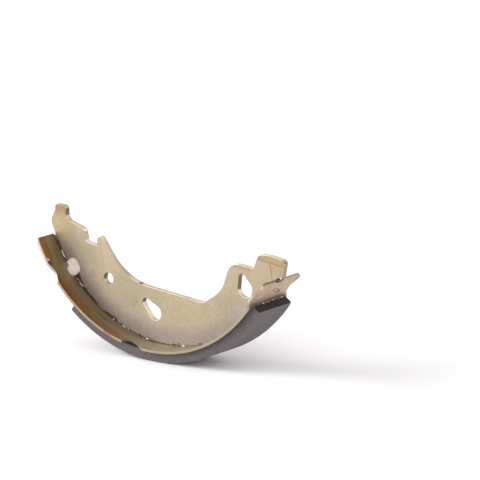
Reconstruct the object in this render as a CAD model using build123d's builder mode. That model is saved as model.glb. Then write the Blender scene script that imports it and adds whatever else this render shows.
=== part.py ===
"""Drum brake shoe, 200 x 29: a web of sheet steel, a curled rim and a bonded lining.

+Z is up, the drum's axis runs along Y above the shoe, and the web stands in the XZ plane.
Angles are measured at the drum's axis from straight down, positive towards the heel (+X).
All sizes are in millimetres.
"""
from build123d import *
from math import atan2, cos, degrees, radians, sin
import os

os.makedirs("parts", exist_ok=True)

# ---- the shoe as a brake size ----
DRUM_R = 100.0
LINING_W = 29.0
LINING_T = 5.9
RIM_W = 33.6
RIM_T = 1.6
WEB_T = 3.2

RIM_OUTER_R = DRUM_R - LINING_T
RIM_INNER_R = RIM_OUTER_R - RIM_T

# ---- how far rim and lining reach round the drum ----
RIM_TOE_DEG = -64.55
RIM_HEEL_DEG = 64.3
LINING_TOE_DEG = -36.7
LINING_HEEL_DEG = 54.9

# ---- pose: the turn about the drum's axis that balances the shoe on its lining ----
REST_TURN_DEG = -1.95
# the drum's axis stands this far from the middle of the shoe's length
AXIS_X = -0.35

# ---- web: its edge, as x, z from the drum's axis and the radius of the corner ----
TOE_EDGE = (
    (-83.1, -39.6, 0.0),
    (-86.6, -32.0, 5.0),
    (-82.9, -25.4, 1.6),
    (-82.8, -21.9, 1.5),
    (-75.8, -21.9, 1.0),
    (-74.3, -23.3, 0.8),
    (-74.3, -30.0, 4.5),
    (-60.3, -33.6, 2.6),
    (-58.6, -41.0, 1.4),
    (-50.5, -42.1, 0.3),
    (-50.2, -37.0, 1.9),
    (-47.3, -36.0, 1.7),
)
CRESCENT_EDGE = (
    (-29.3, -59.1, 39.0),
    (29.8, -63.1, 8.0),
    (43.4, -53.6, 18.0),
)
HEEL_EDGE = (
    (49.7, -35.7, 8.5),
    (66.5, -36.9, 1.8),
    (70.0, -28.1, 3.0),
    (79.0, -27.1, 30.0),
    (89.3, -29.1, 2.2),
    (87.5, -38.6, 0.4),
    (84.3, -39.4, 0.0),
)

# ---- web: pads are welded to the rim, with relief between them ----
RELIEF_FIRST_DEG = -56.2
RELIEF_PITCH_DEG = 12.5
RELIEF_COUNT = 10
RELIEF_DEG = 4.0
RELIEF_DEPTH = 0.9

# ---- web: openings ----
HOLD_DOWN = (-41.5, -60.4)
HOLD_DOWN_D = 7.0
# small end x, z, radius, then large end x, z, radius
TEARDROPS = (
    (-13.0, -69.8, 2.4, -6.2, -75.1, 4.6),
    (58.5, -43.7, 2.4, 60.6, -49.6, 5.1),
)
WINDOW_DEG = -50.1
WINDOW_W = 9.6
WINDOW_DEPTH = 6.9
WINDOW_CORNER = 3.4

# ---- web: the punch draws this face's edges in ----
DIE_ROLL = 0.2

# ---- rim: blanks nest along the strip, so a hook cut from one edge stands out of the other ----
# angle, side, then the hook's outline as distance along the strip, height and corner radius;
# side +1 cuts the near edge and stands out of the far one, -1 the other way round
HOOKS = (
    (-50.3, 1, ((-6.9, 0.0, 0.0), (-0.4, 2.9, 5.0), (6.0, 0.0, 0.0))),
    (-6.7, 1, ((-8.1, 0.0, 0.0), (-8.4, 6.9, 3.2), (-0.5, 5.1, 12.0), (7.6, 0.0, 0.0))),
    (58.8, -1, ((-8.0, 0.0, 0.0), (-1.2, 4.9, 4.0), (2.6, 3.6, 3.5), (4.7, 0.0, 0.0))),
    (58.8, 1, ((4.7, 0.0, 0.0), (6.0, 2.3, 1.5), (10.0, 2.3, 0.0))),
)
RIM_END_CORNER = 1.8
# each end is nicked where the web runs out over it, wider at the heel
TOE_NICK_W = 4.8
HEEL_NICK_W = 7.2
END_NICK_DEPTH = 1.2
END_NICK_CORNER = 1.1
# a lug is cut from a stretch of rim that reaches this far either side of it
LUG_REACH_DEG = 10.0

# ---- lining ----
LINING_CHAMFER = 0.8


def turned(angle_deg):
    """The web's middle plane, centred on the drum's axis, turned about it by an angle."""
    angle = radians(angle_deg + REST_TURN_DEG)
    return Plane(origin=(AXIS_X, 0, DRUM_R), x_dir=(cos(angle), 0, sin(angle)), z_dir=(0, -1, 0))


def at(radius, angle_deg):
    """The point of the shoe's plane at a radius and an angle from straight down."""
    angle = radians(angle_deg)
    return (radius * sin(angle), -radius * cos(angle))


def sector(inner, outer, start_deg, end_deg):
    """A ring sector between two angles from straight down."""
    middle_deg = (start_deg + end_deg) / 2
    with BuildSketch() as shape:
        with BuildLine():
            ThreePointArc(at(inner, start_deg), at(inner, middle_deg), at(inner, end_deg))
            Line(at(inner, end_deg), at(outer, end_deg))
            ThreePointArc(at(outer, end_deg), at(outer, middle_deg), at(outer, start_deg))
            Line(at(outer, start_deg), at(inner, start_deg))
        make_face()
    return shape.sketch


def facing_rim(angle_deg):
    """A plane outside the rim that looks in at it: local x towards the heel, local y along +Y."""
    x, z = at(DRUM_R, angle_deg + REST_TURN_DEG)
    return Plane(origin=(AXIS_X + x, 0, DRUM_R + z), x_dir=(-z, 0, x), z_dir=(-x, 0, -z))


def hook(edge_y, outline, side):
    """A hook standing on a line at edge_y, towards +Y or -Y, with its foot RIM_T behind the line."""
    foot_y = edge_y - side * RIM_T
    with BuildSketch() as shape:
        with BuildLine():
            crest = FilletPolyline(*[(s, edge_y + side * height) for s, height, _ in outline],
                                   radius=[radius for _, _, radius in outline[1:-1]])
            Polyline(crest @ 1, (outline[-1][0], foot_y), (outline[0][0], foot_y), crest @ 0)
        make_face()
    return shape.sketch


def at_an_end(rim_edge):
    """Whether an edge of the rim runs through its thickness at the toe end or the heel end."""
    middle = rim_edge.center()
    angle_deg = degrees(atan2(middle.X - AXIS_X, DRUM_R - middle.Z)) - REST_TURN_DEG
    off_deg = min(abs(angle_deg - RIM_TOE_DEG), abs(angle_deg - RIM_HEEL_DEG))
    return off_deg < 0.01 and abs(rim_edge.length - RIM_T) < RIM_T / 100


SHOE = turned(0)

# ---- web ----
OUTLINE = TOE_EDGE + CRESCENT_EDGE + HEEL_EDGE
with BuildPart() as web:
    with BuildSketch(SHOE):
        with BuildLine():
            edge = FilletPolyline(*[(x, z) for x, z, _ in OUTLINE],
                                  radius=[radius for _, _, radius in OUTLINE[1:-1]])
            toe_foot = Line(edge @ 0, at(RIM_INNER_R, RIM_TOE_DEG))
            heel_foot = Line(edge @ 1, at(RIM_INNER_R, RIM_HEEL_DEG))
            ThreePointArc(toe_foot @ 1, at(RIM_INNER_R, 0), heel_foot @ 1)
        make_face()
    extrude(amount=WEB_T / 2, both=True)
    with BuildSketch(SHOE):
        for k in range(RELIEF_COUNT):
            middle = RELIEF_FIRST_DEG + k * RELIEF_PITCH_DEG
            add(sector(RIM_INNER_R - RELIEF_DEPTH, DRUM_R, middle - RELIEF_DEG / 2, middle + RELIEF_DEG / 2))
        with Locations(HOLD_DOWN):
            Circle(HOLD_DOWN_D / 2)
    extrude(amount=WEB_T, both=True, mode=Mode.SUBTRACT)
    for x_small, z_small, r_small, x_large, z_large, r_large in TEARDROPS:
        with BuildSketch(SHOE):
            with Locations((x_small, z_small)):
                Circle(r_small)
            with Locations((x_large, z_large)):
                Circle(r_large)
            make_hull()
        extrude(amount=WEB_T, both=True, mode=Mode.SUBTRACT)
    with BuildSketch(turned(WINDOW_DEG)):
        with Locations((0, -RIM_INNER_R)):
            RectangleRounded(WINDOW_W, 2 * WINDOW_DEPTH, WINDOW_CORNER)
    extrude(amount=WEB_T, both=True, mode=Mode.SUBTRACT)
    punched = web.faces().sort_by(Axis.Y)[0]
    chamfer(punched.edges(), DIE_ROLL)
web.part.label = "web"
export_step(web.part, "parts/web.step")

# ---- rim ----
lugs = []
for angle_deg, side, outline in HOOKS:
    with BuildPart() as lug:
        with BuildSketch(SHOE):
            add(sector(RIM_INNER_R, RIM_OUTER_R, max(angle_deg - LUG_REACH_DEG, RIM_TOE_DEG),
                       min(angle_deg + LUG_REACH_DEG, RIM_HEEL_DEG)))
        extrude(amount=RIM_W, both=True)
        with BuildSketch(facing_rim(angle_deg)):
            add(hook(side * RIM_W / 2, outline, side))
        extrude(amount=DRUM_R / 2, mode=Mode.INTERSECT)
    lugs.append(lug.part)

with BuildPart() as rim:
    with BuildSketch(SHOE):
        add(sector(RIM_INNER_R, RIM_OUTER_R, RIM_TOE_DEG, RIM_HEEL_DEG))
    extrude(amount=RIM_W / 2, both=True)
    for angle_deg, side, outline in HOOKS:
        with BuildSketch(facing_rim(angle_deg)):
            add(hook(-side * RIM_W / 2, outline, side))
        extrude(amount=DRUM_R / 2, mode=Mode.SUBTRACT)
    add(lugs)
    fillet(rim.edges().filter_by(at_an_end), RIM_END_CORNER)
    for end_deg, nick_width in ((RIM_TOE_DEG, TOE_NICK_W), (RIM_HEEL_DEG, HEEL_NICK_W)):
        with BuildSketch(facing_rim(end_deg)):
            RectangleRounded(2 * END_NICK_DEPTH, nick_width, END_NICK_CORNER)
        extrude(amount=DRUM_R / 2, mode=Mode.SUBTRACT)
rim.part.label = "rim"
export_step(rim.part, "parts/rim.step")

# ---- lining ----
with BuildPart() as lining:
    with BuildSketch(SHOE):
        add(sector(RIM_OUTER_R, DRUM_R, LINING_TOE_DEG, LINING_HEEL_DEG))
    extrude(amount=LINING_W / 2, both=True)
    rubbing = lining.faces().filter_by(GeomType.CYLINDER).sort_by(SortBy.AREA)[-1]
    chamfer(rubbing.edges(), LINING_CHAMFER)
lining.part.label = "lining"
export_step(lining.part, "parts/lining.step")
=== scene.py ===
"""The looks of a drum brake shoe: lacquered steel web and rim, projection welds, bonded lining.

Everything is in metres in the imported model's frame. Patterns are laid out in the shoe's own
frame, in millimetres: its origin is on the drum's axis, x runs towards the heel and z points
away from the lining. Angles are measured there from straight down, positive towards the heel.
The near side of the web is the one that faces -Y.
"""
from __future__ import annotations

import logging
import math
from dataclasses import dataclass
from enum import Enum
from typing import Any

import bpy
import numpy as np
from mathutils import Matrix, Vector


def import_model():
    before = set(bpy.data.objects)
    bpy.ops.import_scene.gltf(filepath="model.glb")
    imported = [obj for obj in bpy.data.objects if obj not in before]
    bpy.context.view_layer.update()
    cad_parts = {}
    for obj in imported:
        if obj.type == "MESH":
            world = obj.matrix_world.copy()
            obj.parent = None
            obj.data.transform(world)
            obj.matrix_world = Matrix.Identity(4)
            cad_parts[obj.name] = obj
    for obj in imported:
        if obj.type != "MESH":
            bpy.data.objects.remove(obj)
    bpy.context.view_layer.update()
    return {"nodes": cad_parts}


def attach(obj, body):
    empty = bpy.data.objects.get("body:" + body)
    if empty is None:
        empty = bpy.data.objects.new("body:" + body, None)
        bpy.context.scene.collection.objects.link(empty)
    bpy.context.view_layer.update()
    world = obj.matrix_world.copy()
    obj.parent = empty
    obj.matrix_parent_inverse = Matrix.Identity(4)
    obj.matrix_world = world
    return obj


LOG = logging.getLogger("brake_shoe")
MM = 0.001
Socket = Any
Triple = tuple[float, float, float]


class Side(Enum):
    """The two sides of the web."""

    NEAR = -1.0
    FAR = 1.0


def linear(hex_colour: str) -> tuple[float, float, float, float]:
    """Turns an sRGB hex colour into linear RGBA.

    Args:
        hex_colour: six hex digits after a #.

    Returns:
        The linear colour with an alpha of 1.
    """
    parts = [int(hex_colour[i:i + 2], 16) / 255 for i in (1, 3, 5)]
    red, green, blue = (c / 12.92 if c <= 0.04045 else ((c + 0.055) / 1.055) ** 2.4 for c in parts)
    return (red, green, blue, 1.0)


def add_node(tree: bpy.types.NodeTree, kind: str, *values: Any, out: int | str | None = 0,
             **named: Any) -> Any:
    """Adds one node with its settings, socket values and links.

    Args:
        tree: the node tree that gets the node.
        kind: the node's type name, without "ShaderNode".
        values: what goes into the first inputs, in order: a socket to link, a plain value to set,
            or None to leave one alone.
        out: the output that is wanted, or None for the node itself.
        named: inputs, whose names start with a capital, and the node's own settings.

    Returns:
        The output socket, or the node.
    """
    node = tree.nodes.new("ShaderNode" + kind)
    inputs = list(enumerate(values))
    for name, value in named.items():
        if name[0].isupper():
            inputs.append((name, value))
        else:
            setattr(node, name, value)
    for place, value in inputs:
        if isinstance(value, bpy.types.NodeSocket):
            tree.links.new(value, node.inputs[place])
        elif value is not None:
            node.inputs[place].default_value = value
    return node if out is None else node.outputs[out]


@dataclass(frozen=True)
class ShoeSizes:
    """The solids' sizes that the looks are laid out by: millimetres, degrees from straight down."""

    web_half: float = 1.6
    rim_inner: float = 92.5
    rim_outer: float = 94.1
    rim_half_width: float = 16.8
    strip_radius: float = 93.0
    lining_half_width: float = 14.5
    lining_toe_deg: float = -36.7
    lining_heel_deg: float = 54.9
    window_deg: float = -50.1

    @property
    def lining_middle_deg(self) -> float:
        """The angle halfway along the lining."""
        return (self.lining_toe_deg + self.lining_heel_deg) / 2

    @property
    def lining_half_deg(self) -> float:
        """Half the angle that the lining takes up."""
        return (self.lining_heel_deg - self.lining_toe_deg) / 2


@dataclass(frozen=True)
class ShoeFrame:
    """Where the shoe's own frame lies in the model's frame."""

    axis_x: float = -0.35
    axis_z: float = 100.0
    turn_deg: float = -1.95

    def matrix(self) -> Matrix:
        """The shoe's frame in millimetres as a matrix into the model's frame in metres.

        Returns:
            The matrix.
        """
        turn = Matrix.Rotation(math.radians(-self.turn_deg), 4, "Y")
        return (Matrix.Translation((self.axis_x * MM, 0.0, self.axis_z * MM)) @ turn
                @ Matrix.Scale(MM, 4))

    def placed(self, points: np.ndarray) -> np.ndarray:
        """Carries points of the shoe's frame into the model's frame.

        Args:
            points: an array of x, y, z in millimetres, last axis of length 3.

        Returns:
            The same points in metres in the model's frame.
        """
        m = np.array(self.matrix())
        return points @ m[:3, :3].T + m[:3, 3]

    @staticmethod
    def polar(radius: np.ndarray, angle: np.ndarray, y: np.ndarray) -> np.ndarray:
        """Points at a radius and an angle about the drum's axis.

        x = r sin(a), z = -r cos(a).

        Args:
            radius: distance from the drum's axis in millimetres.
            angle: radians from straight down.
            y: place along the drum's axis in millimetres.

        Returns:
            An array of points in the shoe's frame.
        """
        radius, angle, y = np.broadcast_arrays(radius, angle, y)
        return np.stack([radius * np.sin(angle), y, -radius * np.cos(angle)], axis=-1)

    @staticmethod
    def inwards(angle: np.ndarray) -> np.ndarray:
        """Unit vectors towards the drum's axis, one for every angle: (-sin a, 0, cos a)."""
        return np.stack([-np.sin(angle), 0.0 * angle, np.cos(angle)], axis=-1)

    @staticmethod
    def onwards(angle: np.ndarray) -> np.ndarray:
        """Unit vectors along the curl towards the heel, one for every angle: (cos a, 0, sin a)."""
        return np.stack([np.cos(angle), 0.0 * angle, np.sin(angle)], axis=-1)

    @staticmethod
    def across(angle: np.ndarray) -> np.ndarray:
        """Unit vectors along the drum's axis, one for every angle: (0, 1, 0)."""
        return np.broadcast_to(np.array([0.0, 1.0, 0.0]), (len(angle), 3))


SIZES = ShoeSizes()
SHOE = ShoeFrame()


@dataclass(frozen=True)
class Mark:
    """A small round mark: its place, the radius of its full part, its soft border and strength."""

    place: Triple
    reach: float
    soft: float
    strength: float = 1.0


@dataclass
class Finish:
    """A finish in the making: its node tree and the coordinates that every finish here uses."""

    material: bpy.types.Material
    shader: Any
    point: Socket
    x: Socket
    y: Socket
    z: Socket
    radius: Socket
    angle: Socket
    strip: Socket
    facing_y: Socket
    facing_up: Socket
    facing_out: Socket

    @classmethod
    def start(cls, name: str) -> "Finish":
        """Opens a material and works out its coordinates in the shoe's frame.

        point is x, y, z in millimetres; radius and angle (degrees) are about the drum's axis;
        strip is (arc length at the strip's radius, y, radius) in millimetres, which follows the
        curl; facing_y and facing_out are how far the surface faces along the drum's axis and away
        from or towards it, 0 to 1; facing_up is 1 for a level top and -1 for a level underside.

        Args:
            name: the material's name.

        Returns:
            The finish, ready for its masks and colours.
        """
        material = bpy.data.materials.new(name)
        material.use_nodes = True
        tree = material.node_tree
        shader = next(n for n in tree.nodes if n.type == "BSDF_PRINCIPLED")
        coords = add_node(tree, "TexCoord", out=None)
        point = add_node(tree, "Mapping", vector_type="TEXTURE", Vector=coords.outputs["Object"],
                         Location=(SHOE.axis_x * MM, 0.0, SHOE.axis_z * MM),
                         Rotation=(0.0, math.radians(-SHOE.turn_deg), 0.0), Scale=(MM, MM, MM))
        x, y, z = add_node(tree, "SeparateXYZ", point, out=None).outputs
        flat = add_node(tree, "VectorMath", point, (1.0, 0.0, 1.0), operation="MULTIPLY")
        radius = add_node(tree, "VectorMath", flat, operation="LENGTH", out="Value")
        down = add_node(tree, "Math", z, -1.0, operation="MULTIPLY")
        turn = add_node(tree, "Math", x, down, operation="ARCTAN2")
        angle = add_node(tree, "Math", turn, operation="DEGREES")
        along = add_node(tree, "Math", turn, SIZES.strip_radius, operation="MULTIPLY")
        strip = add_node(tree, "CombineXYZ", along, y, radius)
        _, across, up = add_node(tree, "SeparateXYZ", coords.outputs["Normal"], out=None).outputs
        facing = add_node(tree, "Math", across, operation="ABSOLUTE")
        outwards = add_node(tree, "VectorMath", flat, operation="NORMALIZE")
        out = add_node(tree, "VectorMath", outwards, coords.outputs["Normal"],
                       operation="DOT_PRODUCT", out="Value")
        out = add_node(tree, "Math", out, operation="ABSOLUTE")
        return cls(material, shader, point, x, y, z, radius, angle, strip, facing, up, out)

    def add(self, kind: str, *values: Any, **named: Any) -> Any:
        """Adds a node to this finish; the arguments are those of add_node."""
        return add_node(self.material.node_tree, kind, *values, **named)

    def both(self, *masks: Any) -> Any:
        """Where all the masks are: their product.

        Args:
            masks: masks, or plain numbers for their strength.

        Returns:
            The mask.
        """
        total = masks[0]
        for mask in masks[1:]:
            total = self.add("Math", total, mask, operation="MULTIPLY")
        return total

    def either(self, *masks: Socket) -> Socket:
        """Where any of the masks is: the greatest of them.

        Args:
            masks: the masks.

        Returns:
            The mask.
        """
        total = masks[0]
        for mask in masks[1:]:
            total = self.add("Math", total, mask, operation="MAXIMUM")
        return total

    def beyond(self, value: Socket, start: Any, full: Any, *masks: Any) -> Socket:
        """A mask that rises smoothly from 0 at start to 1 at full, cut down by other masks."""
        rise = self.add("MapRange", value, start, full, 0.0, 1.0, interpolation_type="SMOOTHSTEP")
        return self.both(rise, *masks)

    def belt(self, value: Socket, centre: float, half: float, soft: float, *masks: Any) -> Socket:
        """A mask of 1 within half of centre and 0 from soft beyond that, cut down by others."""
        off = self.size_of(self.add("Math", value, centre, operation="SUBTRACT"))
        return self.beyond(off, half + soft, half, *masks)

    def size_of(self, value: Socket) -> Socket:
        """A value without its sign."""
        return self.add("Math", value, operation="ABSOLUTE")

    def leaning(self, value: Socket, other: Socket, lean: float) -> Socket:
        """A value plus a share of another one, so that a mask's border leans."""
        return self.add("Math", other, lean, value, operation="MULTIPLY_ADD")

    def off_lining_middle(self) -> Socket:
        """How many degrees off the lining's middle a place is, to either side."""
        off = self.add("Math", self.angle, SIZES.lining_middle_deg, operation="SUBTRACT")
        return self.size_of(off)

    def marks(self, *marks: Mark, through: bool = False) -> Socket:
        """Several round marks in the shoe's frame; through runs them through the web."""
        return self.either(*(self.spot(mark.place, mark.reach, mark.soft, mark.strength,
                                       through=through) for mark in marks))

    def spot(self, place: Triple, reach: float, soft: float, *masks: Any, along_strip: bool = False,
             through: bool = False) -> Socket:
        """A round spot.

        Args:
            place: its middle, in the shoe's frame or along the strip.
            reach: the radius of its full part, in millimetres.
            soft: how far it fades beyond that.
            masks: other masks that cut it down.
            along_strip: whether place is given along the curled strip.
            through: whether the spot runs through the web, whatever y is.

        Returns:
            The mask.
        """
        where = self.strip if along_strip else self.point
        if through:
            where = self.add("VectorMath", where, (1.0, 0.0, 1.0), operation="MULTIPLY")
        apart = self.add("VectorMath", where, place, operation="DISTANCE", out="Value")
        return self.beyond(apart, reach + soft, reach, *masks)

    def cloud(self, size_mm: float, detail: float = 3.0, rough: float = 0.5, seed: float = 0.0,
              where: Socket | None = None, stretch: Triple = (1.0, 1.0, 1.0)) -> Socket:
        """Fractal cloudiness whose largest blotches are about size_mm across.

        Args:
            size_mm: the blotches' size in millimetres.
            detail: how many finer octaves are laid on.
            rough: how strong each finer octave is.
            seed: shifts the pattern, so that two layers differ.
            where: coordinates in millimetres, the shoe's frame by default.
            stretch: factors along the coordinates' axes; under 1 draws the blotches out.

        Returns:
            A value about 0.5 on average.
        """
        moved = self.add("VectorMath", where or self.point, stretch, (seed, 2 * seed, -seed),
                         operation="MULTIPLY_ADD")
        return self.add("TexNoise", Vector=moved, Scale=1.0 / size_mm, Detail=detail,
                        Roughness=rough)

    def ragged(self, value: Socket, reach_mm: float, size_mm: float, seed: float) -> Socket:
        """A value pushed to and fro by cloudiness, so that a mask's border wanders by reach_mm.

        Args:
            value: what the mask is made from.
            reach_mm: how far the border wanders.
            size_mm: the wandering's size.
            seed: shifts the pattern.

        Returns:
            The value, pushed.
        """
        drift = self.cloud(size_mm, 3.0, 0.65, seed)
        level = self.add("Math", drift, reach_mm, -0.5 * reach_mm, operation="MULTIPLY_ADD")
        return self.add("Math", value, level, operation="ADD")

    def specks(self, pitch_mm: float, size: float, share: float, *masks: Any,
               seed: float = 0.0) -> Socket:
        """Scattered round specks.

        Args:
            pitch_mm: the size of the cells that may hold a speck.
            size: a speck's radius as a share of the pitch.
            share: the share of cells that hold one.
            masks: other masks that cut them down.
            seed: shifts the pattern.

        Returns:
            1 inside a speck, 0 outside.
        """
        moved = self.add("VectorMath", self.point, (seed, seed, seed), operation="ADD")
        cells = self.add("TexVoronoi", Vector=moved, Scale=1.0 / pitch_mm, out=None)
        pick = self.add("SeparateXYZ", cells.outputs["Color"])
        held = self.add("Math", pick, share, operation="LESS_THAN")
        return self.beyond(cells.outputs["Distance"], size, size * 0.6, held, *masks)

    def lay(self, under: Any, over: Any, *masks: Any) -> Socket:
        """Lays one colour over another where all the masks are; colours are hex or sockets.

        Args:
            under: the colour below.
            over: the colour on top.
            masks: where it lies and how strongly.

        Returns:
            The colour.
        """
        below, above = (linear(c) if isinstance(c, str) else c for c in (under, over))
        return self.add("Mix", self.both(*masks), None, None, None, None, None, below, above,
                        data_type="RGBA", out=2)

    def mottled(self, colour: Socket, pattern: Socket, darkest: float, lightest: float) -> Socket:
        """Makes a colour darker and lighter by a factor that follows a cloud pattern."""
        factor = self.add("MapRange", pattern, 0.25, 0.75, darkest, lightest)
        return self.add("VectorMath", colour, Scale=factor, operation="SCALE")

    def bump(self, *layers: tuple[Socket, float]) -> None:
        """Raises the surface by height layers, each a socket and its full height in millimetres.

        Args:
            layers: the height layers, the lowest first.
        """
        normal = None
        for height, depth_mm in layers:
            normal = self.add("Bump", Height=height, Distance=depth_mm * MM, Strength=1.0,
                              Normal=normal)
        self.material.node_tree.links.new(normal, self.shader.inputs["Normal"])

    def done(self, **inputs: Any) -> bpy.types.Material:
        """Links or sets the shader's inputs and hands the material over.

        Args:
            inputs: what goes into each input, named with _ for a space.

        Returns:
            The material.
        """
        for name, value in inputs.items():
            socket = self.shader.inputs[name.replace("_", " ")]
            if isinstance(value, bpy.types.NodeSocket):
                self.material.node_tree.links.new(value, socket)
            else:
                socket.default_value = value
        return self.material


@dataclass(frozen=True)
class LacqueredWebSteel:
    """Cold-rolled sheet, blanked, phosphate washed and clear lacquered.

    It gives the eye a satin sand colour that drifts to olive and rose, honey tide marks where the
    lacquer ran back from the lobes, bright sheared edges and a burnt line along the weld.
    """

    sand: str = "#A29276"
    olive: str = "#968A6F"
    rose: str = "#A3948E"
    honey: str = "#927E4E"
    peach: str = "#866541"
    tide: str = "#71532A"
    sheared: str = "#E6D3B9"
    torn: str = "#D8C3A6"
    cream: str = "#EBDABB"
    dulled: str = "#9A8470"
    # painted light for cut walls that look up in the toe's notch and for the window's walls
    painted_wall_light: str = "#F2E4DC"
    # painted shade: the rim's shade on the web, low in the middle
    painted_rim_shade: str = "#776B5E"
    seat: str = "#8C8062"
    # painted shade for cut edges that look down
    painted_underside_shade: str = "#483827"
    # dark of weld burns and pinholes, and of painted shade in a deep relief and two pits
    burn_and_shade: str = "#2F1F18"
    rust: str = "#6E3A22"

    # tide lines on the heel's lobe: a level, a run down from it and a line by the end, each as
    # its place in millimetres and how much it leans
    lobe_level: tuple[float, float] = (-24.7, 0.085)
    lobe_run: tuple[float, float] = (72.4, 0.19)
    lobe_end: tuple[float, float] = (92.9, -0.186)
    pinholes: tuple[Mark, ...] = (
        Mark((-19.8, -1.6, -71.0), 0.25, 0.5),
        Mark((-22.2, -1.6, -73.2), 0.2, 0.5),
    )
    # weld burns; the first two are black dots of painted shadow in deep pits
    burns_and_pit_shadows: tuple[Mark, ...] = (
        Mark((-18.1, -1.6, -90.4), 0.5, 0.3),
        Mark((11.7, -1.6, -91.0), 0.75, 0.3),
        Mark((-59.2, -1.6, -70.2), 0.5, 0.6),
        Mark((-61.0, -1.6, -68.9), 0.3, 0.5),
    )
    edge_stains: tuple[Mark, ...] = (
        Mark((-17.5, 0.0, -59.6), 0.6, 0.9),
        Mark((-4.8, 0.0, -60.0), 0.4, 0.7),
        Mark((17.0, 0.0, -62.6), 0.3, 1.6, 0.4),
        Mark((88.9, 0.0, -29.9), 0.3, 0.4),
    )

    def drift(self, f: Finish) -> Socket:
        """The lacquer's slow drift: sand, olive and rose, rosier towards the rim, and darker low in
        the middle with painted shade of the rim.

        Args:
            f: the finish in the making.

        Returns:
            The colour.
        """
        colour = f.lay(self.sand, self.olive, f.beyond(f.cloud(34.0, 2.0), 0.42, 0.62))
        blushed = f.beyond(f.cloud(15.0, 3.0, 0.6, 31.0), 0.50, 0.70)
        colour = f.lay(colour, self.rose, blushed, 0.6)
        by_rim = f.beyond(f.radius, 74.0, 89.0, f.beyond(f.z, -37.0, -48.0))
        colour = f.lay(colour, self.rose, by_rim, 0.7)
        # painted shade: the web is darkened towards the rim in the middle, where the rim shades it
        low = f.beyond(f.ragged(f.radius, 5.0, 9.0, 27.0), 79.0, 88.0,
                       f.belt(f.angle, 12.0, 22.0, 12.0))
        return f.lay(colour, self.painted_rim_shade, low, 0.42)

    def lobe(self, f: Finish) -> tuple[Socket, Socket]:
        """Where the lacquer stood on the heel's lobe.

        It pooled above a level line and right of a run, up to a line inside the end.

        Args:
            f: the finish in the making.

        Returns:
            The pool's mask and its tide lines' mask.
        """
        (at_level, level_lean), (at_run, run_lean), (at_end, end_lean) = (
            self.lobe_level, self.lobe_run, self.lobe_end)
        on_lobe = f.beyond(f.x, 67.5, 69.5)
        level = f.ragged(f.leaning(f.z, f.x, level_lean), 1.1, 6.0, 11.0)
        run = f.ragged(f.leaning(f.x, f.z, run_lean), 0.7, 4.0, 12.0)
        end = f.ragged(f.leaning(f.x, f.z, end_lean), 0.6, 4.0, 13.0)
        above = f.beyond(level, at_level - 0.2, at_level + 0.2, on_lobe)
        short_of_end = f.beyond(end, at_end + 0.2, at_end - 0.2)
        right = f.beyond(run, at_run - 0.2, at_run + 0.4, short_of_end,
                         f.beyond(f.z, -41.0, -36.0), 0.6)
        level_line = f.belt(level, at_level, 0.10, 0.6, on_lobe)
        run_line = f.belt(run, at_run, 0.15, 0.7, f.beyond(f.z, -42.0, -40.0),
                          f.beyond(f.z, -30.6, -31.4))
        end_line = f.belt(end, at_end, 0.12, 0.35, f.beyond(f.z, -38.5, -37.0),
                          f.beyond(f.z, -29.0, -30.5))
        return f.either(above, right), f.either(level_line, run_line, end_line)

    def lacquer(self, f: Finish) -> Socket:
        """The colour of the flat sides: the lacquer's drift, its tide marks and its specks.

        Args:
            f: the finish in the making.

        Returns:
            The colour.
        """
        pooled, lines = self.lobe(f)
        hump = f.beyond(f.ragged(f.z, 1.0, 6.0, 14.0), -39.2, -38.2,
                        f.beyond(f.x, 47.0, 51.0), f.beyond(f.x, 66.5, 64.5))
        nib = f.beyond(f.ragged(f.z, 3.0, 3.0, 16.0), -31.0, -23.0,
                       f.beyond(f.angle, -66.0, -72.0))
        colour = f.lay(self.drift(f), self.honey, f.either(pooled, hump), 0.55)
        colour = f.lay(colour, self.honey, f.beyond(f.angle, -60.0, -67.0), 0.45)
        colour = f.lay(colour, self.peach, nib, 0.75)
        colour = f.lay(colour, self.peach, f.spot((-80.8, -1.6, -41.1), 1.0, 2.5), 0.4)
        colour = f.lay(colour, self.tide, lines, 0.48)
        specks = f.either(f.marks(*self.pinholes), f.specks(3.4, 0.10, 0.16))
        return f.lay(colour, self.burn_and_shade, specks, 0.5)

    def scorched(self, f: Finish) -> Socket:
        """Where the welds burnt the lacquer, with painted shade mixed in: a thin line, smudges, and
        a wedge under the window that stands for the shade of a deep relief.

        Args:
            f: the finish in the making.

        Returns:
            The mask.
        """
        line = f.beyond(f.ragged(f.radius, 1.3, 2.4, 5.0), 91.9, 92.6,
                        f.beyond(f.angle, 24.0, 4.0), 0.85)
        smudge = f.beyond(f.ragged(f.radius, 3.4, 2.0, 6.0), 90.2, 91.6,
                          f.belt(f.angle, -25.6, 2.8, 1.2), 0.8)
        toe = f.beyond(f.ragged(f.radius, 3.0, 1.6, 19.0), 90.6, 91.8,
                       f.belt(f.angle, -60.0, 1.2, 1.0), 0.7)
        # painted shade: the wedge is the shade inside a deep relief under the window
        wedge = f.beyond(f.ragged(f.leaning(f.radius, f.angle, -0.55), 1.6, 2.0, 7.0), 113.4, 114.8,
                         f.belt(f.angle, -44.9, 3.1, 0.7), 0.9)
        run_on = f.beyond(f.ragged(f.radius, 1.6, 1.8, 22.0), 90.9, 91.7,
                          f.belt(f.angle, -39.5, 5.0, 2.5), 0.85)
        burns = f.marks(*self.burns_and_pit_shadows)
        return f.either(line, smudge, toe, wedge, run_on, burns, self.heat_tint_and_shade(f))

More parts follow.
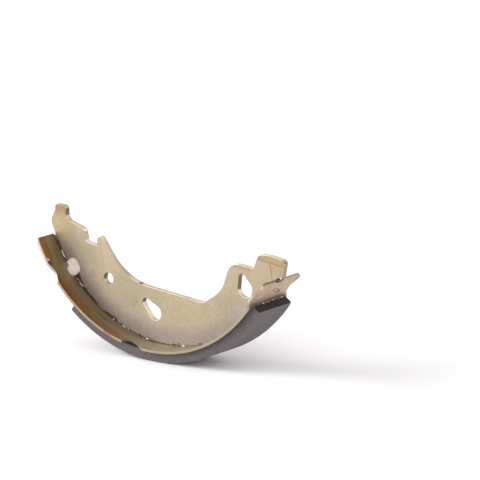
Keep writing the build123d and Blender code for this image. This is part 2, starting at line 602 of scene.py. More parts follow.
    def heat_tint_and_shade(self, f: Finish) -> Socket:
        """The faint brown round the toe's welds and window: heat tint, partly painted shade by the
        rim and the window.

        Args:
            f: the finish in the making.

        Returns:
            The mask.
        """
        tint = f.beyond(f.ragged(f.radius, 3.0, 6.0, 15.0), 80.0, 91.5,
                        f.beyond(f.angle, -8.0, -34.0), f.beyond(f.angle, -65.0, -52.0), 0.22)
        pad = f.beyond(f.ragged(f.radius, 2.0, 3.0, 18.0), 88.5, 91.5,
                       f.belt(f.angle, -55.2, 1.2, 2.0), 0.4)
        return f.either(tint, pad)

    def cut_edge(self, f: Finish) -> Socket:
        """The blanked edge: a burnished band by the punched face, a rough torn band behind it.

        It is duller along the toe's half. Where it looks down it is darkened with painted shade,
        and painted light makes it pale where it looks up in the toe's notch and in the window;
        inside the reliefs it is painted rose like the web, so that they show less shade.

        Args:
            f: the finish in the making.

        Returns:
            The colour.
        """
        torn = f.beyond(f.ragged(f.y, 1.6, 1.6, 3.0), 0.1, 0.8)
        cut = f.lay(self.sheared, self.torn, torn)
        cut = f.lay(cut, self.cream, f.beyond(f.x, 44.0, 47.0), 0.8)
        dull = f.either(f.belt(f.x, -36.0, 8.0, 5.0), f.beyond(f.x, -70.0, -73.0))
        cut = f.lay(cut, self.dulled, dull, 0.6)
        # painted light: the notch's floor, which looks up, is made pale
        notch_floor = f.belt(f.x, -54.0, 3.4, 1.0, f.beyond(f.facing_up, 0.5, 0.8))
        cut = f.lay(cut, self.painted_wall_light, notch_floor)
        # painted shade: cut edges that look down are darkened
        looks_down = f.beyond(f.facing_up, 0.36, 0.05, f.beyond(f.x, 84.0, 78.0))
        cut = f.lay(cut, self.painted_underside_shade, looks_down, 0.85)
        # painted light: the window's walls are made pale for the light through it
        window = f.belt(f.angle, SIZES.window_deg, 3.8, 0.4, f.beyond(f.radius, 84.0, 85.0))
        cut = f.lay(cut, self.painted_wall_light, window, 0.9)
        # painted light: inside the reliefs the cut edge is painted rose like the web, so the slots
        # show less shade
        reliefs = f.beyond(f.radius, 91.3, 91.5, f.beyond(f.angle, 2.0, 3.0))
        cut = f.lay(cut, self.rose, reliefs, 0.85)
        heel_seat = f.beyond(f.x, 85.5, 87.0, f.beyond(f.z, -29.6, -31.2))
        cut = f.lay(cut, self.seat, heel_seat, 0.8)
        return f.lay(cut, self.rust, f.marks(*self.edge_stains, through=True), 0.85)

    def material(self) -> bpy.types.Material:
        """The steel of the web.

        Returns:
            The material.
        """
        f = Finish.start("lacquered_cold_rolled_steel")
        # rolled grain is far finer than this: it is drawn 0.9 mm across so that it shows
        grain = f.cloud(0.9, 2.0, 0.7)
        colour = f.lay(self.lacquer(f), self.burn_and_shade, self.scorched(f))
        colour = f.lay(colour, self.cut_edge(f), f.beyond(f.facing_y, 0.95, 0.80))
        grainy = f.mottled(colour, grain, 0.82, 1.16)
        grainy = f.mottled(grainy, f.cloud(3.5, 2.0, 0.6, 23.0), 0.95, 1.05)
        colour = f.lay(grainy, colour, f.beyond(f.x, 58.0, 68.0), 0.65)
        gloss = f.add("MapRange", f.cloud(5.0, 3.0, 0.6, 17.0), 0.3, 0.7, 0.36, 0.48)
        f.bump((grain, 0.012), (f.cloud(0.35, 2.0, 0.6, 9.0), 0.006))
        return f.done(Base_Color=colour, Roughness=gloss, Metallic=0.5, Coat_Weight=0.2,
                      Coat_Roughness=0.25)


@dataclass(frozen=True)
class LacqueredRimSteel:
    """Cold-rolled strip, curled, washed and clear lacquered.

    It gives the eye an olive strip with amber lacquer pooled along its edges and drawn out in
    streaks round the curl, pale slit edges and the dark heat line of the weld.
    """

    olive: str = "#7E6F4E"
    khaki: str = "#88775A"
    # pale of painted light on the inner face, and of a burr's nub
    pale: str = "#DECCC3"
    beige: str = "#B49E86"
    streak: str = "#665328"
    amber: str = "#815013"
    orange: str = "#8F5526"
    slit_edge: str = "#938773"
    slit_toe: str = "#BDB1A6"
    rust: str = "#8C5638"
    # dark of the weld's heat line and the electrode's mark, and of painted shade at the heel's end
    burn_and_shade: str = "#2C2119"
    green: str = "#7D7A5E"
    golden: str = "#805922"
    dregs: str = "#4C3618"
    stain: str = "#763D2F"
    # painted shade of the web on the rim's inner face
    web_shade: str = "#645246"
    wiped: str = "#C2AB98"
    washed: str = "#AA947C"

    # the notch by the toe: its middle, and each flank's slope and its height at the middle
    notch_deg: float = -50.3
    notch_rise: tuple[float, float] = (0.446, 3.08)
    notch_fall: tuple[float, float] = (-0.453, 2.72)
    mm_per_deg: float = 1.62
    # places along the strip: (arc length, y, radius)
    dregs_at: Triple = (-88.2, -15.0, 92.5)
    nub_at: Triple = (-90.6, -15.3, 92.5)
    window_light_at: Triple = (-79.9, -0.9, 92.5)
    # the mark of a welding electrode: its middle and its deeper side, as degrees and y
    electrode: tuple[float, float] = (59.8, 0.7)
    electrode_deep: tuple[float, float] = (59.2, 3.2)

    @staticmethod
    def on_outside(degrees: float, y: float) -> Triple:
        """A place on the strip's outer face as (arc length, y, radius)."""
        return (math.radians(degrees) * SIZES.strip_radius, y, SIZES.rim_outer)

    def inset(self, f: Finish) -> Socket:
        """How far in from the strip's edge, following the notch near the toe, in millimetres.

        Args:
            f: the finish in the making.

        Returns:
            The distance.
        """
        along = f.add("Math", f.angle, self.mm_per_deg, -self.notch_deg * self.mm_per_deg,
                      operation="MULTIPLY_ADD")
        rise = f.add("Math", along, *self.notch_rise, operation="MULTIPLY_ADD")
        fall = f.add("Math", along, *self.notch_fall, operation="MULTIPLY_ADD")
        notch = f.add("Math", rise, fall, operation="MINIMUM")
        notch = f.add("Math", notch, 0.0, operation="MAXIMUM")
        notch = f.both(notch, f.add("Math", f.y, 0.0, operation="LESS_THAN"))
        edge = f.add("Math", SIZES.rim_half_width, f.size_of(f.y), operation="SUBTRACT")
        return f.add("Math", edge, notch, operation="SUBTRACT")

    def inner_face(self, f: Finish, drawn: Socket, cloud: Socket) -> tuple[Socket, Socket]:
        """The inner face: olive to khaki, streaked, with amber pooled along the edge at the toe,
        painted shade of the web beside it, and painted light that makes the far half and a patch
        under the window pale.

        Args:
            f: the finish in the making.
            drawn: streaks along the strip.
            cloud: slow cloudiness.

        Returns:
            The colour and the mask of the amber.
        """
        inset = self.inset(f)
        colour = f.lay(self.olive, self.khaki, f.beyond(f.angle, -44.0, 8.0))
        colour = f.lay(colour, self.streak, f.beyond(drawn, 0.50, 0.68), 0.7)
        pooled = f.add("Math", cloud, -7.0, inset, operation="MULTIPLY_ADD")
        amber = f.beyond(pooled, 4.6, -1.6, f.beyond(f.angle, -4.0, -16.0))
        thinned = f.belt(f.angle, -51.5, 1.5, 3.0, 0.75)
        amber = f.both(amber, f.add("Math", 1.0, thinned, operation="SUBTRACT"))
        colour = f.lay(colour, self.amber, amber, 0.9)
        bands = f.cloud(1.6, 2.0, 0.5, 41.0, f.strip, (0.05, 1.0, 0.2))
        colour = f.lay(colour, self.golden, f.beyond(bands, 0.52, 0.62), amber, 0.8)
        colour = f.lay(colour, self.dregs, f.beyond(bands, 0.47, 0.38), amber, 0.7)
        fierce = f.either(f.belt(inset, 3.0, 1.2, 1.2, f.beyond(f.angle, -54.5, -57.5)),
                          f.belt(inset, 4.0, 1.0, 1.4, f.belt(f.angle, -36.0, 2.0, 4.0), 0.6))
        colour = f.lay(colour, self.orange, fierce, 0.75)
        stain = f.beyond(inset, 3.6, 1.8, f.belt(f.angle, -44.0, 3.6, 2.0))
        colour = f.lay(colour, self.stain, stain, 0.88)
        # painted shade: browner and darker beside the web at the toe, where the web shades the rim
        by_web = f.belt(f.y, -SIZES.web_half, 1.0, 4.0)
        colour = f.lay(colour, self.web_shade, by_web, f.beyond(f.angle, -38.0, -46.0), 0.45)
        lip = f.beyond(inset, 1.1, 0.7, f.beyond(f.angle, -54.0, -58.0))
        colour = f.lay(colour, self.slit_toe, lip, 0.8)
        colour = f.lay(colour, self.dregs, f.spot(self.dregs_at, 0.9, 1.1, along_strip=True), 0.9)
        colour = f.lay(colour, self.pale, f.spot(self.nub_at, 0.7, 0.7, along_strip=True), 0.8)
        low_edge = f.beyond(inset, 2.4, 0.8)
        colour = f.lay(colour, self.streak, low_edge, f.belt(f.angle, 9.0, 12.0, 6.0), 0.45)
        # painted light: the far half, past the web, is painted pale for the light from behind, and
        # so is the patch where light falls through the web's window
        pale_glint = f.either(f.beyond(f.y, -2.0, -1.2),
                        f.spot(self.window_light_at, 2.9, 1.4, along_strip=True))
        return f.lay(colour, self.pale, pale_glint, 0.9), amber

    def outer_face(self, f: Finish, cloud: Socket, ring: Socket) -> Socket:
        """The outer face: washed beige, honey against the lining, greener on the bent lugs.

        Args:
            f: the finish in the making.
            cloud: slow cloudiness.
            ring: the mask of the electrode's mark.

        Returns:
            The colour.
        """
        face = f.lay(self.beige, self.washed, f.beyond(cloud, 0.40, 0.65))
        off_lining = f.add("Math", cloud, 4.0, f.off_lining_middle(), operation="MULTIPLY_ADD")
        half_deg = SIZES.lining_half_deg
        honeyed = f.beyond(off_lining, half_deg + 4.8, half_deg + 2.6)
        face = f.lay(face, self.streak, honeyed, 0.7)
        face = f.lay(face, self.green, f.beyond(f.size_of(f.y), 14.5, 16.5), 0.2)
        deep = f.spot(self.on_outside(*self.electrode_deep), 1.2, 0.8, ring, along_strip=True)
        return f.lay(f.lay(face, self.burn_and_shade, ring, 0.45), self.burn_and_shade, deep, 0.8)

    def electrode_ring(self, f: Finish, outside: Socket) -> Socket:
        """The mark of a welding electrode that sat askew.

        It is an oval ring about 5 by 3 mm: the places where two leaning distances from its
        middle, each over its half axis, have a length of 1.

        Args:
            f: the finish in the making.
            outside: the mask of the strip's outer face.

        Returns:
            The ring's mask.
        """
        off = f.add("VectorMath", f.strip, self.on_outside(*self.electrode), operation="SUBTRACT")
        long_way, short_way = (
            f.add("VectorMath", off, lean, operation="DOT_PRODUCT", out="Value")
            for lean in ((0.245, 0.397, 0.0), (0.784, 0.197, 0.0)))
        oval = f.add("VectorMath", f.add("CombineXYZ", long_way, short_way), operation="LENGTH",
                     out="Value")
        return f.belt(oval, 1.0, 0.08, 0.3, outside)

    def heat(self, f: Finish) -> Socket:
        """The dark line beside the web, not where the web's window is.

        Args:
            f: the finish in the making.

        Returns:
            The mask.
        """
        off_web = f.size_of(f.y)
        beside = f.ragged(off_web, 1.6, 2.2, 5.0)
        line = f.beyond(beside, 2.4, 1.8, f.beyond(f.angle, 24.0, 4.0),
                        f.belt(f.angle, -5.0, 41.6, 0.3), 0.7)
        toe = f.beyond(beside, 2.8, 2.0, f.belt(f.angle, -57.8, 4.4, 0.6), 0.7)
        run_on = f.beyond(beside, 3.0, 2.2, f.belt(f.angle, -41.0, 6.0, 2.0), 0.5)
        return f.both(f.either(line, toe, run_on), f.beyond(off_web, 1.35, 1.6))

    def slit(self, f: Finish) -> Socket:
        """The slit edges: cream, rusty in places, brown outside, and darkened with painted shade of
        the web on the near half of the heel's end.

        Args:
            f: the finish in the making.

        Returns:
            The colour.
        """
        patches = f.beyond(f.cloud(5.0, 4.0, 0.7, 13.0, f.strip, (0.5, 1.0, 1.0)), 0.60, 0.72)
        rusty = f.either(f.both(patches, 0.4), f.belt(f.angle, -18.6, 1.2, 1.6, 0.7))
        slit = f.lay(self.slit_edge, self.slit_toe, f.beyond(f.angle, -46.0, -56.0))
        slit = f.lay(slit, self.rust, rusty)
        slit = f.lay(slit, self.streak, f.beyond(f.radius, 93.5, 94.0), 0.5)
        slit = f.lay(slit, self.wiped, f.beyond(f.angle, 54.5, 57.5), 0.8)
        # the near half of the heel's end: khaki, with painted shade of the web darkening its outer
        # half and the part beside the web
        heel_end = f.beyond(f.angle, 63.2, 63.5, f.beyond(f.y, 2.0, 1.4))
        slit = f.lay(slit, self.khaki, f.beyond(f.y, -16.2, -15.2, heel_end), 0.7)
        outer_line = f.beyond(f.radius, 93.2, 93.7, f.beyond(f.y, -15.5, -13.0, heel_end))
        slit = f.lay(slit, self.burn_and_shade, outer_line, 0.5)
        return f.lay(slit, self.burn_and_shade, f.beyond(f.y, -4.5, -3.2, heel_end), 0.7)

    def material(self) -> bpy.types.Material:
        """The steel of the rim.

        Returns:
            The material.
        """
        f = Finish.start("lacquered_strip_steel")
        # rolled grain, drawn 0.9 mm across so that it shows
        grain = f.cloud(0.9, 2.0, 0.7)
        drawn = f.cloud(3.2, 3.0, 0.6, 7.0, f.strip, (0.12, 1.0, 1.0))
        cloud = f.cloud(12.0, 3.0, 0.6, 2.0, f.strip)
        outside = f.beyond(f.radius, 93.2, 93.6)
        ring = self.electrode_ring(f, outside)
        inner, amber = self.inner_face(f, drawn, cloud)
        colour = f.lay(inner, self.burn_and_shade, self.heat(f), f.beyond(f.radius, 93.4, 93.0))
        colour = f.lay(colour, self.outer_face(f, cloud, ring), outside)
        colour = f.lay(colour, self.slit(f), f.beyond(f.facing_out, 0.75, 0.4))
        colour = f.mottled(colour, grain, 0.84, 1.14)
        gloss = f.add("MapRange", amber, 0.0, 1.0, 0.44, 0.30)
        f.bump((ring, -0.15), (grain, 0.012), (drawn, 0.01))
        return f.done(Base_Color=colour, Roughness=gloss, Metallic=0.5, Coat_Weight=0.25,
                      Coat_Roughness=0.25)


@dataclass(frozen=True)
class MouldedLining:
    """Moulded friction mix of resin, fibres and metal chips, ground on the rubbing face and sides.

    It gives the eye a matt grey with a trace of purple, peppered with dark pits and pale chips,
    and rough, almost black moulded ends.
    """

    grey: str = "#514C4B"
    violet: str = "#52494C"
    pit: str = "#2C292A"
    chip: str = "#958D89"
    moulded: str = "#242021"
    rubbed: str = "#645D5E"
    # dark adhesive, with painted shade under the rim's overhang
    adhesive_and_shade: str = "#1C1510"

    def material(self) -> bpy.types.Material:
        """The friction material.

        Returns:
            The material.
        """
        f = Finish.start("moulded_friction_lining")
        pepper = f.cloud(0.7, 3.0, 0.75)
        ground = f.cloud(1.0, 3.0, 0.6, 4.0, f.strip, (0.15, 1.0, 1.0))
        half_deg = SIZES.lining_half_deg
        ends = f.beyond(f.off_lining_middle(), half_deg - 0.08, half_deg - 0.02)
        colour = f.lay(self.grey, self.violet, f.beyond(f.cloud(9.0, 3.0, 0.6), 0.4, 0.6))
        colour = f.mottled(f.mottled(colour, pepper, 0.66, 1.32), ground, 0.93, 1.06)
        colour = f.lay(colour, self.pit, f.specks(1.4, 0.30, 0.35), 0.65)
        colour = f.lay(colour, self.chip, f.specks(1.9, 0.17, 0.4, seed=9.0), 0.7)
        rough_end = f.lay(self.moulded, self.chip, f.specks(0.9, 0.22, 0.3, seed=21.0), 0.8)
        colour = f.lay(colour, self.rubbed, f.beyond(f.radius, 98.9, 99.7), 0.7)
        colour = f.lay(colour, rough_end, ends)
        # the bonded face and the top of the sides: dark adhesive, with painted shade under the
        # rim's overhang
        colour = f.lay(colour, self.adhesive_and_shade, f.beyond(f.radius, 94.5, 94.25))
        # a chip knocked out of the side's lower edge
        colour = f.lay(colour, self.moulded, f.spot((-14.4, -14.5, -98.4), 0.5, 0.7))
        f.bump((pepper, 0.05), (f.both(f.cloud(1.6, 3.0, 0.7, 6.0), ends), 0.5))
        dull = f.add("MapRange", ends, 0.0, 1.0, 0.88, 0.62)
        sheen = f.add("MapRange", ends, 0.0, 1.0, 0.5, 0.25)
        return f.done(Base_Color=colour, Roughness=dull, Specular_IOR_Level=sheen)


@dataclass(frozen=True)
class WeldMetal:
    """Steel squeezed out of the projection welds.

    It gives the eye a dark scorched bead along the pads with a few bare glints.
    """

    scorched: str = "#33251C"
    pale_glint: str = "#A39484"
    smoked: str = "#7A5C36"

    def material(self) -> bpy.types.Material:
        """The metal of the weld flash, browner at the heel's end.

        Returns:
            The material.
        """
        f = Finish.start("scorched_weld_flash")
        glints = f.beyond(f.cloud(1.3, 2.0, 0.6, 8.0), 0.66, 0.72, 0.4)
        colour = f.lay(self.scorched, self.pale_glint, glints)
        at_heel_end = f.beyond(f.angle, 62.6, 63.0, f.beyond(f.y, -2.6, -1.8))
        colour = f.lay(colour, self.smoked, at_heel_end, 0.8)
        f.bump((f.cloud(0.4, 3.0, 0.7), 0.05))
        return f.done(Base_Color=colour, Roughness=0.45, Metallic=0.5)


@dataclass(frozen=True)
class BareSpatter:
    """Drops of weld metal that froze clean.

    They give the eye a pale grey glint on the dark line.
    """

    bright: str = "#E6DCCB"
    dull: str = "#A89A8A"

    def material(self) -> bpy.types.Material:
        """The metal of the drops.

        Returns:
            The material.
        """
        f = Finish.start("bare_weld_spatter")
        colour = f.lay(self.dull, self.bright, f.beyond(f.cloud(0.6, 2.0, 0.5), 0.36, 0.46))
        return f.done(Base_Color=colour, Roughness=0.35, Metallic=0.5)


@dataclass(frozen=True)
class BondingAdhesive:
    """Cured phenolic adhesive squeezed out round the lining: dull amber brown with pale crumbs."""

    brown: str = "#4E3820"
    crumb: str = "#C9BCAA"

    def material(self) -> bpy.types.Material:
        """The adhesive.

        Returns:
            The material.
        """
        f = Finish.start("cured_phenolic_adhesive")
        half_deg = SIZES.lining_half_deg
        by_ends = f.beyond(f.off_lining_middle(), half_deg - 0.4, half_deg - 0.1)
        crumbs = f.beyond(f.cloud(1.1, 2.0, 0.6), 0.54, 0.62, by_ends)
        colour = f.lay(self.brown, self.crumb, crumbs)
        return f.done(Base_Color=colour, Roughness=0.5)


@dataclass(frozen=True)
class PaleFloor:
    """Matt white studio paper, which gives the eye a white ground with soft shadows."""

    white: str = "#FAF8F9"

    def material(self) -> bpy.types.Material:
        """The paper of the floor.

        Returns:
            The material.
        """
        material = bpy.data.materials.new("studio_paper")
        material.use_nodes = True
        shader = next(n for n in material.node_tree.nodes if n.type == "BSDF_PRINCIPLED")
        shader.inputs["Base Color"].default_value = linear(self.white)
        shader.inputs["Roughness"].default_value = 0.8
        return material


@dataclass
class Bead:
    """A run of squeezed-out stuff: a closed tube along a line, as thick as its radius says.

    Point = centre + r (cos p * out + sin p * side), with p going once round the tube; out, side
    and the run's direction are a right-handed set, so the quads face outwards.
    """

    centre: np.ndarray
    out: np.ndarray
    side: np.ndarray
    radius: np.ndarray
    sides: int = 10

    def surface(self) -> tuple[np.ndarray, list[list[int]]]:
        """Works out the tube.

        Returns:
            Its points in millimetres, and its quads and two end caps.
        """
        turn = np.linspace(0.0, 2.0 * np.pi, self.sides, endpoint=False)[None, :, None]
        ring = np.cos(turn) * self.out[:, None, :] + np.sin(turn) * self.side[:, None, :]
        points = self.centre[:, None, :] + self.radius[:, None, None] * ring
        step, corner = np.meshgrid(np.arange(len(self.centre) - 1), np.arange(self.sides),
                                   indexing="ij")
        after = (corner + 1) % self.sides
        here, there = step * self.sides, (step + 1) * self.sides
        quads = np.stack([here + corner, here + after, there + after, there + corner], axis=-1)
        first = np.arange(self.sides)
        last = first + (len(self.centre) - 1) * self.sides
        caps = [first[::-1].tolist(), last.tolist()]
        return points.reshape(-1, 3), [*quads.reshape(-1, 4).tolist(), *caps]


def rounded(steps: int) -> tuple[np.ndarray, np.ndarray]:
    """A drop's long profile: t = sin s for even steps of s, and its thickness sqrt(1 - t^2).

    Args:
        steps: how many places along the drop.

    Returns:
        t from -1 to 1, closer together at the ends, and the share of the full radius there.
    """
    t = np.sin(np.linspace(-0.49 * np.pi, 0.49 * np.pi, steps))
    return t, np.sqrt(1.0 - t ** 2)


def lumpy(place: np.ndarray, seed: int, reach: float) -> np.ndarray:
    """Smooth random lumps along a line.

    Sum of four cosines of falling size and random phase, squeezed to 0..1.

    Args:
        place: places along the line, in millimetres.
        seed: picks the lumps.
        reach: the longest wave in millimetres.

    Returns:
        A value of 0 to 1 at every place.
    """
    rng = np.random.default_rng(seed)
    waves = reach / np.array([1.0, 1.9, 3.3, 6.1])
    phase = rng.uniform(0.0, 2.0 * np.pi, 4)
    size = np.array([1.0, 0.8, 0.6, 0.5])
    total = (size * np.cos(2.0 * np.pi * place[:, None] / waves + phase)).sum(axis=1)
    return np.clip(0.5 + total / 4.0, 0.0, 1.0)


def build_piece(name: str, beads: list[Bead], material: bpy.types.Material) -> bpy.types.Object:
    """Makes one smooth mesh of some closed beads and hangs it on the shoe.

    Args:
        name: the piece's name.
        beads: the runs that make it up.
        material: its finish.

    Returns:
        The new object, at the origin.
    """
    points, faces, count = [], [], 0
    for bead in beads:
        some_points, some_faces = bead.surface()
        points.append(some_points)
        faces += [[count + corner for corner in face] for face in some_faces]
        count += len(some_points)
    mesh = bpy.data.meshes.new(name)
    mesh.from_pydata(SHOE.placed(np.concatenate(points)).tolist(), [], faces)
    mesh.polygons.foreach_set("use_smooth", np.ones(len(mesh.polygons), dtype=bool))
    mesh.materials.append(material)
    piece = bpy.data.objects.new(name, mesh)
    bpy.context.collection.objects.link(piece)
    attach(piece, "root")
    LOG.info("%s: %d faces", name, len(mesh.polygons))
    return piece


@dataclass
class Welds:
    """What the projection welds left in the corners between web and rim, on both sides.

    Flash lies along each pad, thinned to nothing where the reliefs and the window leave no pad,
    and drops of spatter sit here and there.
    """

    toe_deg: float = -62.4
    heel_deg: float = 64.5
    window_span_deg: tuple[float, float] = (-53.5, -46.7)
    relief_first_deg: float = -56.2
    relief_pitch_deg: float = 12.5
    relief_half_deg: float = 2.0
    relief_count: int = 10
    # angle, spread in degrees, swell in millimetres
    lumps: tuple[Triple, ...] = (
        (-60.4, 0.5, 0.5), (-59.0, 0.4, 0.35), (-53.8, 0.45, 0.8), (-40.7, 0.5, 0.5),
        (-38.6, 0.7, 0.55), (-34.5, 0.8, 0.35), (-28.0, 0.5, 0.45), (-26.4, 0.4, 0.5),
        (-24.9, 0.6, 0.5), (-22.6, 0.4, 0.4), (-11.3, 0.4, 1.0), (-3.4, 0.5, 0.15),
        (7.3, 0.3, 0.6), (63.9, 0.4, 0.8))
    # angle, length in degrees, radius in millimetres
    drops: tuple[Triple, ...] = (
        (-56.3, 3.0, 0.34), (-45.5, 0.5, 0.40), (-43.1, 2.2, 0.26), (-38.7, 1.2, 0.30),
        (-24.1, 0.7, 0.50), (-19.0, 1.8, 0.36), (-16.6, 0.5, 0.40), (-7.4, 1.3, 0.45),
        (9.5, 1.5, 0.40), (33.0, 0.5, 0.35))
    far_shift_deg: float = 3.1
    # the flash: its steps, how soon it thins out, its least, even and lumpy thickness, and the
    # share of a lump's swell that stands out
    step_deg: float = 0.12
    taper_deg: float = 0.4
    least: float = 0.01
    even: float = 0.02
    uneven: float = 0.10
    swell_share: float = 0.6
    # the bead in the heel's nick: degrees, radius, middle y, half its length, its own radius
    foot_deg: float = 63.95
    foot_radius: float = 93.3
    foot_y: float = -0.9
    foot_half: float = 2.6
    foot_thick: float = 0.75

    def line(self, side: Side, degrees: np.ndarray, radius: np.ndarray) -> Bead:
        """A bead in the corner between web and rim.

        Args:
            side: which side of the web.
            degrees: the angles of its steps.
            radius: its radius at each step, in millimetres.

        Returns:
            The bead.
        """
        angle = np.radians(degrees)
        centre = SHOE.polar(SIZES.rim_inner - 0.05, angle, side.value * SIZES.web_half)
        return Bead(centre, SHOE.inwards(angle), -SHOE.across(angle), radius)

    def flash(self, side: Side) -> Bead:
        """The flash of one side, almost nothing off the pads.

        Its radius = how far into a pad it is (even + uneven lumps) + a share of the swells, and a
        swell is a sum of bell curves, size exp(-((a - at) / spread)^2).

        Args:
            side: which side of the web.

        Returns:
            The bead.
        """
        degrees = np.arange(self.toe_deg, self.heel_deg, self.step_deg)
        shift = 0.0 if side is Side.NEAR else self.far_shift_deg
        place = np.radians(degrees) * SIZES.rim_inner
        at, spread, size = (np.array(values)[:, None] for values in zip(*self.lumps))
        swell = (size * np.exp(-((degrees - at - shift) / spread) ** 2)).sum(axis=0)
        turns = (degrees - self.relief_first_deg) / self.relief_pitch_deg
        nearest = np.clip(np.round(turns), 0, self.relief_count - 1)
        into_pad = np.abs(turns - nearest) * self.relief_pitch_deg - self.relief_half_deg
        window_from, window_to = self.window_span_deg
        window = np.maximum(window_from - degrees, degrees - window_to)
        ends = np.minimum(degrees - self.toe_deg, self.heel_deg - degrees)
        pad = np.clip(np.minimum(window, ends) / self.taper_deg, 0.0, 1.0) ** 0.5
        held = np.clip(into_pad / self.taper_deg, 0.0, 1.0) ** 0.5
        lumps = lumpy(place, 3 + int(side.value), 3.1) ** 2
        radius = pad * (held * (self.even + self.uneven * lumps) + self.swell_share * swell)
        return self.line(side, degrees, np.maximum(radius, self.least))

    def drop(self, side: Side, at_deg: float, long_deg: float, radius: float) -> Bead:
        """One drop of spatter: r = R sqrt(1 - t^2), t from -1 to 1 along it.

        Args:
            side: which side of the web.
            at_deg: where its middle is.
            long_deg: how long it is.
            radius: its thickest radius in millimetres.

        Returns:
            The bead.
        """
        t, share = rounded(9)
        shift = 0.0 if side is Side.NEAR else self.far_shift_deg
        return self.line(side, at_deg + shift + 0.5 * long_deg * t, radius * share)

    def foot(self) -> Bead:
        """What was squeezed into the heel's nick under the web: r = R sqrt(1 - t^2) along y.

        Returns:
            The bead.
        """
        t, share = rounded(13)
        angle = np.full(len(t), math.radians(self.foot_deg))
        centre = SHOE.polar(self.foot_radius, angle, self.foot_half * t + self.foot_y)
        return Bead(centre, SHOE.onwards(angle), -SHOE.inwards(angle), self.foot_thick * share)

    def build(self) -> None:
        """Makes the flash and the spatter."""
        flash = [self.flash(side) for side in Side] + [self.foot()]
        build_piece("weld_flash", flash, WeldMetal().material())
        drops = [self.drop(side, *drop) for side in Side for drop in self.drops]
        build_piece("weld_spatter", drops, BareSpatter().material())


@dataclass
class AdhesiveBead:
    """Adhesive squeezed out round the lining's footprint on the rim."""

    step_deg: float = 0.25
    step_mm: float = 0.15

    def along(self, side: Side) -> Bead:
        """The run beside the lining on one side: r = 0.05 mm and up to 0.2 mm of lumps.

        Args:
            side: which side of the lining.

        Returns:
            The bead.
        """
        angle = np.radians(np.arange(SIZES.lining_toe_deg, SIZES.lining_heel_deg, self.step_deg))
        radius = 0.05 + 0.2 * lumpy(angle * SIZES.rim_outer, 21 + int(side.value), 7.0)
        centre = SHOE.polar(SIZES.rim_outer + 0.05, angle, side.value * SIZES.lining_half_width)
        return Bead(centre, SHOE.inwards(angle), -SHOE.across(angle), radius)

    def over(self, end_deg: float, seed: int) -> Bead:
        """The run across one end of the lining, with crumbs standing out.

        Its radius is 0.1 mm and up to 0.6 mm of lumps to the power 2.5, which leaves flat ground
        between them.

        Args:
            end_deg: the angle of the lining's end.
            seed: picks the crumbs.

        Returns:
            The bead.
        """
        y = np.arange(-SIZES.lining_half_width, SIZES.lining_half_width, self.step_mm)
        angle = np.full(len(y), np.radians(end_deg))
        radius = 0.10 + 0.6 * lumpy(y, seed, 4.3) ** 2.5
        centre = SHOE.polar(SIZES.rim_outer + 0.1, angle, y)
        return Bead(centre, SHOE.onwards(angle), -SHOE.inwards(angle), radius)

    def build(self) -> None:
        """Makes the adhesive piece."""
        beads = [self.along(side) for side in Side]
        beads += [self.over(SIZES.lining_toe_deg, 31), self.over(SIZES.lining_heel_deg, 35)]
        build_piece("squeezed_adhesive", beads, BondingAdhesive().material())


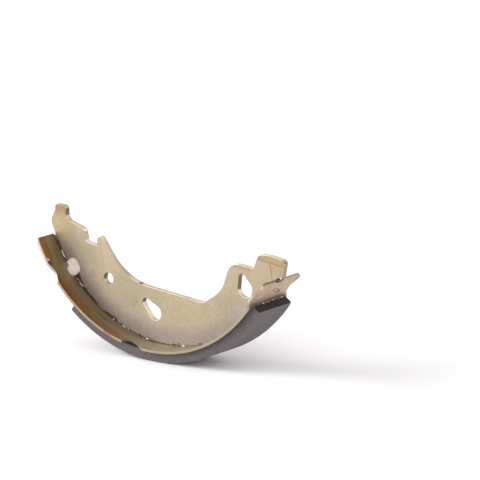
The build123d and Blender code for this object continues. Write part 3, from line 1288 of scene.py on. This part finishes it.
@dataclass
class Studio:
    """The floor, the lights and the camera. The camera's place is in the shoe's frame."""

    azimuth_deg: float = 38.945
    elevation_deg: float = 14.25
    camera_mm: Triple = (1256.816, -1486.147, 463.206)
    lens_mm: float = 262.139
    film_mm: float = 36.0
    floor_mm: float = 9000.0
    # the surround: level brightness, what it gains towards +X and -Y, what it loses overhead
    surround: tuple[float, float, float, float] = (1.29, 0.68, 0.27, 0.9)
    # the soft box: its power, its sides, where it hangs and what it faces, in metres
    side_watts: float = 71.0
    side_box: tuple[float, float] = (1.6, 1.4)
    side_at: Triple = (-1.9, -1.25, 1.0)
    side_faces: Triple = (0.0, 0.0, 0.04)

    def floor(self) -> None:
        """Lays a level sheet of paper under the lining: z = 0 at every point."""
        half = self.floor_mm / 2 * MM
        corners = np.array([[-half, -half, 0.0], [half, -half, 0.0],
                            [half, half, 0.0], [-half, half, 0.0]])
        mesh = bpy.data.meshes.new("floor")
        mesh.from_pydata(corners.tolist(), [], [(0, 1, 2, 3)])
        mesh.materials.append(PaleFloor().material())
        sheet = bpy.data.objects.new("floor", mesh)
        bpy.context.collection.objects.link(sheet)

    def side_light(self) -> None:
        """Hangs a soft box low in front at the toe's side, facing the shoe."""
        data = bpy.data.lights.new("side", "AREA")
        data.shape = "RECTANGLE"
        data.size, data.size_y = self.side_box
        data.energy = self.side_watts
        lamp = bpy.data.objects.new("side", data)
        lamp.location = self.side_at
        towards = Vector(self.side_faces) - lamp.location
        lamp.rotation_euler = towards.to_track_quat("-Z", "Y").to_euler()
        bpy.context.collection.objects.link(lamp)

    def cove(self) -> None:
        """Puts a white cove round everything, brighter by the heel and in front, dimmer above.

        Brightness = level + gain x - front y - loss z^2, with x, y, z of the direction looked in.
        """
        world = bpy.data.worlds.new("cove")
        world.use_nodes = True
        tree = world.node_tree
        way = add_node(tree, "TexCoord", out="Generated")
        x, y, z = add_node(tree, "SeparateXYZ", way, out=None).outputs
        level, gain, front, loss = self.surround
        above = add_node(tree, "Math", z, z, operation="MULTIPLY")
        bright = add_node(tree, "Math", x, gain, level, operation="MULTIPLY_ADD")
        bright = add_node(tree, "Math", y, -front, bright, operation="MULTIPLY_ADD")
        bright = add_node(tree, "Math", above, -loss, bright, operation="MULTIPLY_ADD")
        tree.links.new(bright, tree.nodes["Background"].inputs["Strength"])
        tree.nodes["Background"].inputs["Color"].default_value = (1.0, 1.0, 1.0, 1.0)
        bpy.context.scene.world = world

    def camera(self) -> None:
        """Sets up the camera level in the shoe's frame, looking along its azimuth and elevation."""
        a, e = math.radians(self.azimuth_deg), math.radians(self.elevation_deg)
        back = Vector((math.sin(a) * math.cos(e), -math.cos(a) * math.cos(e), math.sin(e)))
        right = Vector((math.cos(a), math.sin(a), 0.0))
        up = back.cross(right)
        turn = SHOE.matrix().to_3x3().normalized()
        data = bpy.data.cameras.new("camera")
        data.lens = self.lens_mm
        data.sensor_width = self.film_mm
        data.clip_start, data.clip_end = 0.05, 30.0
        eye = bpy.data.objects.new("camera", data)
        axes = Matrix((turn @ right, turn @ up, turn @ back)).transposed()
        place = SHOE.matrix() @ Vector(self.camera_mm)
        eye.matrix_world = Matrix.Translation(place) @ axes.to_4x4()
        bpy.context.collection.objects.link(eye)
        bpy.context.scene.camera = eye

    def build(self) -> None:
        """Sets up floor, lights, camera and a plain display of the colours."""
        self.floor()
        self.side_light()
        self.cove()
        self.camera()
        bpy.context.scene.view_settings.view_transform = "Standard"
        LOG.info("studio: floor, lights and camera")


def dress(node: bpy.types.Object, material: bpy.types.Material) -> None:
    """Gives a CAD node one finish in every material slot.

    Args:
        node: the CAD node's object.
        material: its finish.
    """
    if not node.material_slots:
        node.data.materials.append(material)
    for place in node.material_slots:
        place.material = material
    LOG.info("%s: %s", node.name, material.name)


def main() -> None:
    """Builds the shoe's looks in order."""
    logging.basicConfig(level=logging.INFO, format="%(name)s: %(message)s")
    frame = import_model()
    nodes = frame["nodes"]
    dress(nodes["web"], LacqueredWebSteel().material())
    dress(nodes["rim"], LacqueredRimSteel().material())
    dress(nodes["lining"], MouldedLining().material())
    Welds().build()
    AdhesiveBead().build()
    Studio().build()


if __name__ == "__main__":
    main()
